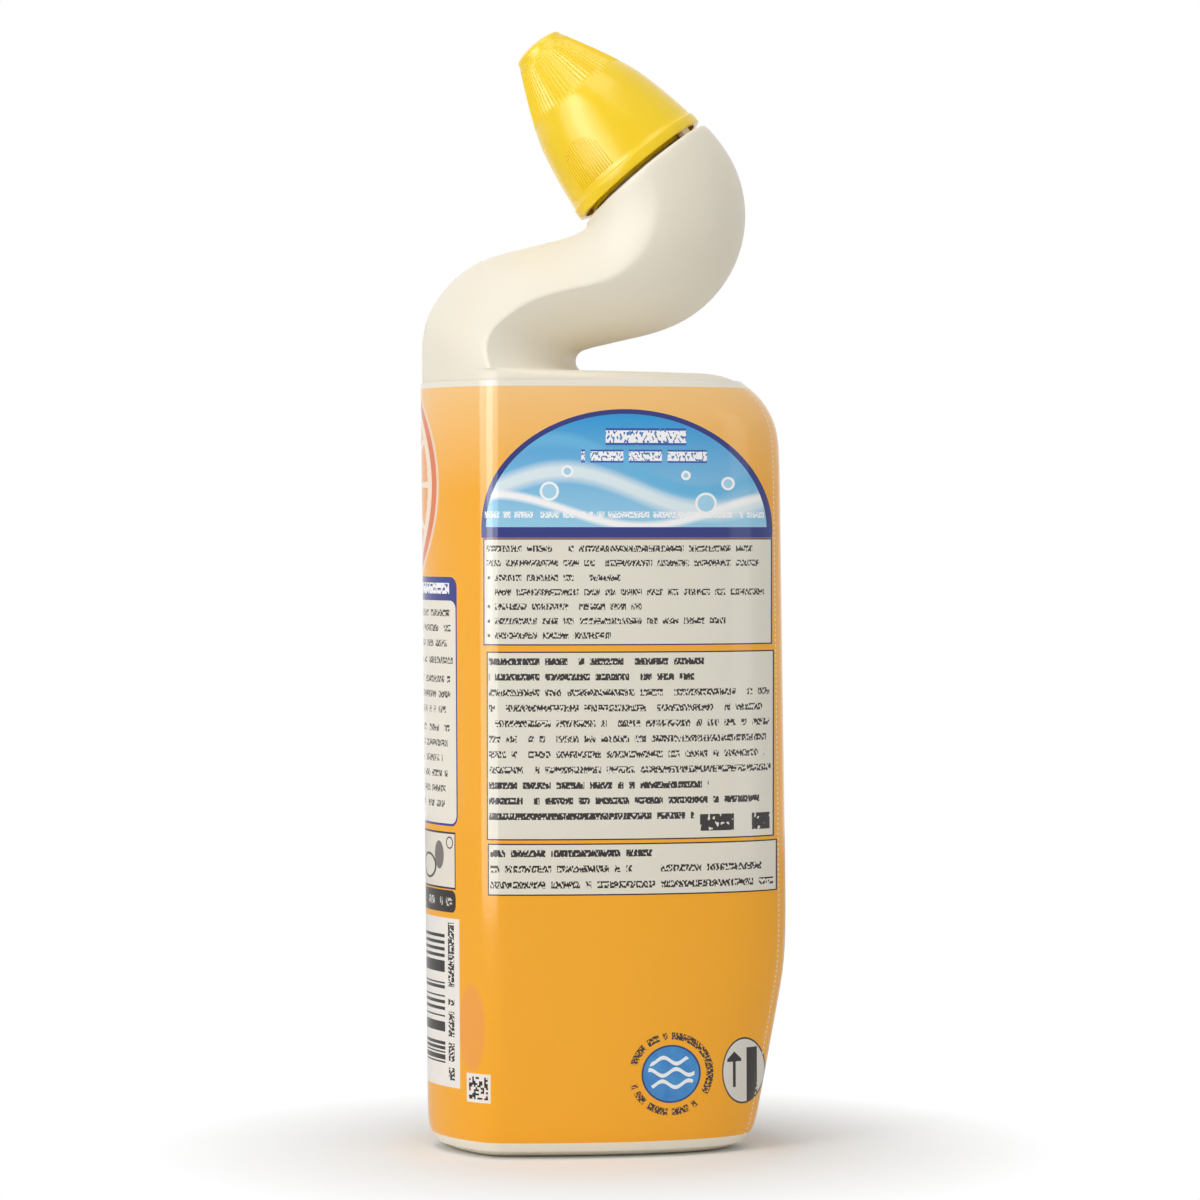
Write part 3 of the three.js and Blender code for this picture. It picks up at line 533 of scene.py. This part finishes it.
def pp_material():
    """Injection-moulded PP in a strong yellow: semi-gloss, slightly uneven where it cooled."""
    material, tree = new_material("yellow_moulded_pp")
    place = add(tree, "TexCoord", {}, output=3)
    waves = add(tree, "TexNoise", {"Vector": place, "Scale": 90.0, "Detail": 1.5})
    grain = add(tree, "TexNoise", {"Vector": place, "Scale": 1800.0, "Detail": 2.0})
    height = add(tree, "Math", {0: grain, 1: 0.03, 2: waves}, operation="MULTIPLY_ADD")
    normal = add(tree, "Bump", {"Strength": 0.2, "Distance": 0.0002, "Height": height})
    tint = add(tree, "Mix", {0: waves, 6: linear("#FFD405"), 7: linear("#FFDA0C")},
               output=2, data_type="RGBA")
    rough = add(tree, "MapRange", {"Value": grain, "To Min": 0.18, "To Max": 0.24})
    shader = add(tree, "BsdfPrincipled", {
        "Base Color": tint, "Roughness": rough, "IOR": 1.49, "Normal": normal,
        "Subsurface Weight": 0.1, "Subsurface Radius": (1.0, 0.6, 0.06),
        "Subsurface Scale": 0.001})
    add(tree, "OutputMaterial", {0: shader})
    return material


def ldpe_material():
    """Natural LDPE: milky, waxy and soft-looking, with light bleeding through its thin wall."""
    material, tree = new_material("natural_moulded_ldpe")
    place = add(tree, "TexCoord", {}, output=3)
    grain = add(tree, "TexNoise", {"Vector": place, "Scale": 1200.0, "Detail": 2.0})
    normal = add(tree, "Bump", {"Strength": 0.2, "Distance": 0.0002, "Height": grain})
    rough = add(tree, "MapRange", {"Value": grain, "To Min": 0.42, "To Max": 0.55})
    shader = add(tree, "BsdfPrincipled", {
        "Base Color": linear("#F1F0EA"), "Roughness": rough, "IOR": 1.51, "Normal": normal,
        "Subsurface Weight": 0.5, "Subsurface Radius": (1.0, 0.95, 0.85),
        "Subsurface Scale": 0.003})
    add(tree, "OutputMaterial", {0: shader})
    return material


def floor_material():
    """Matt white card. Away from the bottle it fades into the white background."""
    material, tree = new_material("matt_white_card")
    place = add(tree, "TexCoord", {}, output=3)
    length = add(tree, "VectorMath", {0: place}, output=1, operation="LENGTH")
    fade = add(tree, "MapRange", {"Value": length, "From Min": 0.045, "From Max": 0.115})
    seen = add(tree, "Math", {0: fade, 1: add(tree, "LightPath", {}, output=0)},
               operation="MULTIPLY")
    card = add(tree, "BsdfDiffuse", {0: linear("#F6F6F4")})
    white = add(tree, "Emission", {0: (1, 1, 1, 1), 1: 1.0})
    shader = add(tree, "MixShader", {0: seen, 1: card, 2: white})
    add(tree, "OutputMaterial", {0: shader})
    return material


# Pieces

def refined_copy(node, name, sharp, levels):
    """A smooth copy of a solid: merged, made of quads, hard edges creased, subdivided."""
    bpy.ops.object.select_all(action="DESELECT")
    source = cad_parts[node]
    source.select_set(True)
    bpy.context.view_layer.objects.active = source
    bpy.ops.object.duplicate()
    piece = bpy.context.object
    piece.name = name
    piece.data.name = name
    bpy.ops.object.mode_set(mode="EDIT")
    bpy.ops.mesh.select_all(action="SELECT")
    bpy.ops.mesh.remove_doubles(threshold=0.00001)
    bpy.ops.mesh.tris_convert_to_quads(face_threshold=math.radians(40),
                                       shape_threshold=math.radians(60))
    bpy.ops.mesh.select_all(action="DESELECT")
    bpy.ops.mesh.select_mode(type="EDGE")
    bpy.ops.mesh.edges_select_sharp(sharpness=math.radians(sharp))
    bpy.ops.transform.edge_crease(value=1)
    bpy.ops.object.mode_set(mode="OBJECT")
    rounding = piece.modifiers.new("rounding", "SUBSURF")
    rounding.levels = levels
    rounding.render_levels = levels
    bpy.ops.object.modifier_apply(modifier="rounding")
    bpy.ops.object.shade_smooth_by_angle(angle=math.radians(40))
    return piece


def raised(name, profile, sides):
    """A ring drawn up along a profile of radii and heights, in millimetres, about the Z axis."""
    bpy.ops.object.select_all(action="DESELECT")
    radius, height = profile[0]
    bpy.ops.mesh.primitive_circle_add(vertices=sides, radius=radius * MM,
                                      location=(0, 0, height * MM))
    piece = bpy.context.object
    piece.name = name
    piece.data.name = name
    bpy.ops.object.transform_apply(location=True, rotation=True, scale=True)
    bpy.ops.object.mode_set(mode="EDIT")
    bpy.ops.mesh.select_all(action="SELECT")
    for next_radius, next_height in profile[1:]:
        rise = (next_height - height) * MM
        bpy.ops.mesh.extrude_region_move(TRANSFORM_OT_translate={"value": (0, 0, rise)})
        size = next_radius / radius
        bpy.ops.transform.resize(value=(size, size, 1), center_override=(0, 0, next_height * MM))
        radius, height = next_radius, next_height
    bpy.ops.mesh.select_all(action="SELECT")
    bpy.ops.mesh.remove_doubles(threshold=0.00002)
    bpy.ops.mesh.normals_make_consistent(inside=False)
    bpy.ops.object.mode_set(mode="OBJECT")
    return piece


def onto_mouth(piece):
    """Moves a piece made about the Z axis to the mouth's axis."""
    bpy.ops.object.select_all(action="DESELECT")
    piece.select_set(True)
    bpy.context.view_layer.objects.active = piece
    leaned = Matrix.Rotation(-math.radians(MOUTH_TILT), 4, "Y")
    piece.matrix_world = Matrix.Translation(MOUTH) @ leaned
    bpy.ops.object.transform_apply(location=True, rotation=True, scale=True)


def joined(pieces):
    """The pieces made into one object."""
    bpy.ops.object.select_all(action="DESELECT")
    for piece in pieces:
        piece.select_set(True)
    bpy.context.view_layer.objects.active = pieces[0]
    bpy.ops.object.join()
    return bpy.context.object


def quadratic(start, bend, end, share):
    """A point on the curve from start to end that bends towards a third point."""
    a, b, c = (1 - share) ** 2, 2 * share * (1 - share), share ** 2
    return (a * start[0] + b * bend[0] + c * end[0], a * start[1] + b * bend[1] + c * end[1])


def mixed(a, b, share):
    """The number that lies a share of the way from one to the other."""
    return a + (b - a) * share


TIP_EDGE = (CAP_TIP_RADIUS, CAP_HEIGHT - 0.9 - CAP_TIP_EDGE)
SKIRT = ((CAP_RIM_RADIUS - CAP_STEP, CAP_BAND),
         (mixed(CAP_RIM_RADIUS - CAP_STEP, CAP_WAIST_RADIUS, 0.36),
          mixed(CAP_BAND, CAP_WAIST_HEIGHT, 0.55)),
         (CAP_WAIST_RADIUS, CAP_WAIST_HEIGHT))
CONE = (SKIRT[2],
        (mixed(CAP_WAIST_RADIUS, CAP_TIP_RADIUS, 0.23),
         mixed(CAP_WAIST_HEIGHT, TIP_EDGE[1], 0.34)),
        TIP_EDGE)


def curve_radius(curve, height):
    """The radius of one of the cap's curves at a height."""
    low, high = 0.0, 1.0
    for _ in range(30):
        middle = (low + high) / 2
        if quadratic(*curve, middle)[1] < height:
            low = middle
        else:
            high = middle
    return quadratic(*curve, low)[0]


def make_cap():
    """The cap: bell inside, threaded collar, groove, rim, band, skirt, fluted cone, tip."""
    inside = [(0.02, 28.6), (2.1, 28.9), (2.2, 34.3), (3.9, 34.4), (3.9, 38.6)]
    inside += [(curve_radius(CONE, height) - CAP_WALL, height)
               for height in (38.6, 34, 30, 26, 22.5)]
    collar = CAP_COLLAR_RADIUS
    inside += [(collar, 20.5), (collar, -0.2), (collar + 0.3, -0.5), (collar + 0.8, -0.5),
               (collar + 1.1, -0.2), (collar + 1.1, 16.2)]
    inside += [(curve_radius(SKIRT, height) - CAP_WALL, height)
               for height in (14.6, 11, 7, 3.4)]
    foot = CAP_RIM_RADIUS - CAP_STEP - CAP_WALL
    rim = [(foot, 0.15), (foot + 0.15, 0), (CAP_RIM_RADIUS - 0.35, 0),
           (CAP_RIM_RADIUS - 0.1, 0.1), (CAP_RIM_RADIUS, 0.4), (CAP_RIM_RADIUS, CAP_BAND - 0.6),
           (CAP_RIM_RADIUS - 0.06, CAP_BAND - 0.35), (CAP_RIM_RADIUS - 0.2, CAP_BAND - 0.2),
           (CAP_RIM_RADIUS - 0.42, CAP_BAND - 0.1)]
    skirt = [quadratic(*SKIRT, i / 14) for i in range(15)]
    cone = [quadratic(*CONE, i / 26) for i in range(1, 27)]
    tip = []
    for i in range(1, 7):
        turn = math.radians(76 * i / 6)
        tip.append((TIP_EDGE[0] - CAP_TIP_EDGE * (1 - math.cos(turn)),
                    TIP_EDGE[1] + CAP_TIP_EDGE * math.sin(turn)))
    tip += [(4.2, CAP_HEIGHT - 0.42), (2.4, CAP_HEIGHT - 0.14), (1, CAP_HEIGHT - 0.03),
            (0.02, CAP_HEIGHT)]
    shell = raised("cap_shell", inside + rim + skirt + cone + tip, 4 * FLUTES)
    # Upright rows of the upper cone are drawn in, one in four the most, to make the flutes
    for share, rows in ((0.98, (2,)), (0.99, (1, 3))):
        bpy.ops.object.mode_set(mode="EDIT")
        bpy.ops.mesh.select_mode(type="VERT")
        bpy.ops.mesh.select_all(action="DESELECT")
        bpy.ops.object.mode_set(mode="OBJECT")
        for vertex in shell.data.vertices:
            x, y, z = vertex.co
            radius = math.hypot(x, y) / MM
            height = z / MM
            row = round((math.atan2(y, x) % math.tau) / math.tau * 4 * FLUTES) % 4
            outer = FLUTE_START < height < FLUTE_END and radius > curve_radius(CONE, height) - 0.3
            vertex.select = bool(outer and row in rows)
        bpy.ops.object.mode_set(mode="EDIT")
        bpy.ops.transform.resize(value=(share, share, 1), center_override=(0, 0, 0))
        bpy.ops.object.mode_set(mode="OBJECT")

    # Ribs of the squeeze pads, bevelled, side by side on both sides
    pieces = [shell]
    count = int(PAD_WIDTH / PAD_RIB_PITCH)
    for side in (0, 180):
        for i in range(count + 1):
            beside = (i - count / 2) * PAD_RIB_PITCH
            arch = math.sqrt(max(0, 1 - (2 * beside / (PAD_WIDTH + 1)) ** 2))
            top = PAD_TOP - PAD_WIDTH / 2 * (1 - arch)
            middle = (PAD_BOTTOM + top) / 2
            radius = curve_radius(SKIRT, middle)
            lean = math.atan2(curve_radius(SKIRT, PAD_BOTTOM) - curve_radius(SKIRT, top),
                              top - PAD_BOTTOM)
            bpy.ops.object.select_all(action="DESELECT")
            bpy.ops.mesh.primitive_cube_add(size=1)
            rib = bpy.context.object
            bpy.ops.object.mode_set(mode="EDIT")
            bpy.ops.transform.resize(value=(PAD_RIB_DEPTH * MM, PAD_RIB_PITCH / 2 * MM,
                                            (top - PAD_BOTTOM) * MM))
            bpy.ops.mesh.bevel(offset=0.1 * MM, segments=2)
            bpy.ops.object.mode_set(mode="OBJECT")
            turn = math.radians(PAD_ANGLE + side) + beside / radius
            rib.matrix_world = (Matrix.Rotation(turn, 4, "Z")
                                @ Matrix.Translation((radius * MM, 0, middle * MM))
                                @ Matrix.Rotation(-lean, 4, "Y"))
            bpy.ops.object.transform_apply(location=True, rotation=True, scale=True)
            pieces.append(rib)
    cap = joined(pieces)
    cap.name = "cap_shell"
    bpy.ops.object.shade_smooth_by_angle(angle=math.radians(32))
    onto_mouth(cap)
    return cap


def make_insert():
    """Dropper insert: plug, flange, spout with a rounded tip, and its bore."""
    profile = [(9.4, 6), (10.1, 6), (10.3, 6.4), (10.3, 16.3), (12.1, 16.3), (12.3, 16.5),
               (12.3, 17.1), (12.1, 17.3), (9.2, 17.3), (8.9, 17.6), (7.9, 20), (6.7, 23.4),
               (5.6, 27), (4.7, 30.4), (4.05, 33), (3.9, 33.6), (3.6, 34), (2.7, 34),
               (2.5, 33.8), (2.5, 30.4), (4.4, 27.3), (6.4, 22), (8.1, 17.3), (9.4, 16.2),
               (9.4, 6)]
    insert = raised("dropper_spout", profile, 96)
    bpy.ops.object.shade_smooth_by_angle(angle=math.radians(35))
    onto_mouth(insert)
    return insert


def helix(name, radius, depth, start):
    """A screw thread's ridge: a small round section taken round and up by a screw modifier."""
    bpy.ops.object.select_all(action="DESELECT")
    bpy.ops.mesh.primitive_circle_add(vertices=10, radius=THREAD_HALF_WIDTH * MM,
                                      location=(0, 0, 0))
    piece = bpy.context.object
    piece.name = name
    bpy.ops.object.mode_set(mode="EDIT")
    bpy.ops.mesh.select_all(action="SELECT")
    bpy.ops.transform.resize(value=(depth / THREAD_HALF_WIDTH, 1, 1),
                             center_override=(0, 0, 0))
    bpy.ops.object.mode_set(mode="OBJECT")
    piece.matrix_world = (Matrix.Translation((radius * MM, 0, start * MM))
                          @ Matrix.Rotation(math.pi / 2, 4, "X"))
    bpy.ops.object.transform_apply(location=True, rotation=True, scale=True)
    screw = piece.modifiers.new("screw", "SCREW")
    screw.axis = "Z"
    screw.angle = math.tau * THREAD_TURNS
    screw.screw_offset = THREAD_PITCH * THREAD_TURNS * MM
    screw.steps = int(60 * THREAD_TURNS)
    screw.render_steps = screw.steps
    bpy.ops.object.modifier_apply(modifier="screw")
    bpy.ops.object.mode_set(mode="EDIT")
    bpy.ops.mesh.select_all(action="SELECT")
    bpy.ops.mesh.fill_holes(sides=12)
    bpy.ops.mesh.normals_make_consistent(inside=False)
    bpy.ops.object.mode_set(mode="OBJECT")
    bpy.ops.object.shade_smooth_by_angle(angle=math.radians(50))
    onto_mouth(piece)
    return piece


def wrap_lines(sleeve):
    """Keeps, at each vertex, how far it is round the sleeve from the middle of the tall end."""
    table = []
    steps = 200
    reach = RIDGE_X + BODY_WIDTH / 2
    last = (0.0, 0.0)
    total = 0.0
    for i in range(steps + 1):
        turn = math.pi / 2 * i / steps
        run = 1 - math.cos(turn)
        place = (reach * run,
                 BODY_DEPTH / 2 * ((1 - TALL_FLATNESS) * math.sin(turn) + TALL_FLATNESS * run))
        total += math.dist(last, place)
        last = place
        table.append(total)
    wrap = sleeve.data.attributes.new("wrap", "FLOAT", "POINT")
    for vertex, entry in zip(sleeve.data.vertices, wrap.data):
        x, y, z = vertex.co / MM
        tall = -BODY_WIDTH / 2 + TALL_LEAN * (1 - z / SHOULDER_HEIGHT) - FILM_STAND_OFF
        share = (x - tall) / (RIDGE_X - tall)
        if share < 1:
            # Close to the middle the depth tells the place better than the width does
            by_width = math.acos(max(-1.0, min(1.0, 1 - share)))
            run = abs(y) / (BODY_DEPTH / 2) - TALL_FLATNESS * max(0.0, share)
            by_depth = math.atan2(max(0.0, run) / (1 - TALL_FLATNESS), 1 - share)
            turn = mixed(by_depth, by_width, max(0.0, min(1.0, (share - 0.03) / 0.12)))
            spot = turn / (math.pi / 2) * steps
            low = int(spot)
            high = min(steps, low + 1)
            entry.value = mixed(table[low], table[high], spot - low) * RIDGE_RUN / total
        else:
            entry.value = RIDGE_RUN + x - RIDGE_X
        if y > 0:
            entry.value = -entry.value


bottle = refined_copy("bottle", "bottle_blown", 52, 2)
bottle.data.materials.clear()
bottle.data.materials.append(hdpe_material())
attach(bottle, "pack")
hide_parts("bottle")

sleeve = refined_copy("sleeve", "sleeve_film", 60, 2)
wrap_lines(sleeve)
sleeve.data.materials.clear()
for side, drawn in (("end", end_print), ("face", face_print), ("back", show_print)):
    sleeve.data.materials.append(film_material(side, drawn))
# Each stretch of the film has its own part of the print
wrapped = [entry.value for entry in sleeve.data.attributes["wrap"].data]
for polygon in sleeve.data.polygons:
    place = sum(wrapped[i] for i in polygon.vertices) / len(polygon.vertices)
    polygon.material_index = 1 if place > END_REACH else 2 if place < -END_REACH else 0
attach(sleeve, "pack")
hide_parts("sleeve")

insert = make_insert()
insert.data.materials.append(ldpe_material())
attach(insert, "pack")
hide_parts("dropper_insert")

yellow = pp_material()
cap = make_cap()
cap.data.materials.clear()
cap.data.materials.append(yellow)
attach(cap, "cap")
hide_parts("cap")

mouth_thread = helix("mouth_thread", FINISH_RADIUS, 0.8, 3)
mouth_thread.data.materials.append(bottle.data.materials[0])
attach(mouth_thread, "pack")

cap_thread = helix("cap_thread", CAP_COLLAR_RADIUS, 0.75, 5)
cap_thread.data.materials.append(yellow)
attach(cap_thread, "cap")

# Floor and white background
bpy.ops.object.select_all(action="DESELECT")
bpy.ops.mesh.primitive_circle_add(vertices=96, radius=1.2, fill_type="NGON", location=(0, 0, 0))
floor = bpy.context.object
floor.name = "floor"
floor.data.materials.append(floor_material())

world = bpy.data.worlds.new("white_surround")
bpy.context.scene.world = world
world.use_nodes = True
tree = world.node_tree
tree.nodes.clear()
rays = [add(tree, "LightPath", {}, output=name)
        for name in ("Is Camera Ray", "Is Glossy Ray", "Is Transmission Ray")]
seen = add(tree, "Math", {
    0: add(tree, "Math", {0: rays[0], 1: rays[1]}, operation="ADD"),
    1: rays[2]}, operation="ADD", use_clamp=True)
light = add(tree, "Background", {0: (1, 1, 1, 1), 1: 0.47})
white = add(tree, "Background", {0: (1, 1, 1, 1), 1: 1.0})
add(tree, "OutputWorld", {0: add(tree, "MixShader", {0: seen, 1: light, 2: white})})

# Soft boxes: a broad one to the left, one near it whose reflection runs down the ridge, one
# overhead and a weak one to the right
for name, spot, size, power in (("left_box", (-0.95, -1.05, 0.62), (0.5, 1.1), 6.4),
                                ("edge_box", (-0.42, -0.45, 0.36), (0.55, 0.7), 3.6),
                                ("top_box", (-0.15, -0.35, 1.35), (1.0, 0.8), 5.2),
                                ("right_box", (1.3, -0.6, 0.35), (0.4, 0.9), 0.7)):
    lamp = bpy.data.lights.new(name, "AREA")
    lamp.shape = "RECTANGLE"
    lamp.size, lamp.size_y = size
    lamp.energy = power
    holder = bpy.data.objects.new(name, lamp)
    bpy.context.collection.objects.link(holder)
    holder.location = spot
    # The one near the ridge is seen in gloss alone, so that it adds no light to the colours
    holder.visible_diffuse = name != "edge_box"
    height = spot[2] if name == "edge_box" else 0.15
    way = Vector((0, 0, height)) - Vector(spot)
    holder.rotation_euler = way.to_track_quat("-Z", "Y").to_euler()

# Camera
aim = Vector((-1.25, 0, 140.5)) * MM
eye = Vector((56.3, -1098.5, 158.5)) * MM
camera = bpy.data.cameras.new("camera")
camera.lens = 128.55
camera.sensor_width = 36
viewer = bpy.data.objects.new("camera", camera)
bpy.context.collection.objects.link(viewer)
viewer.location = eye
viewer.rotation_euler = (aim - eye).to_track_quat("-Z", "Y").to_euler()
bpy.context.scene.camera = viewer
bpy.context.scene.view_settings.view_transform = "Standard"
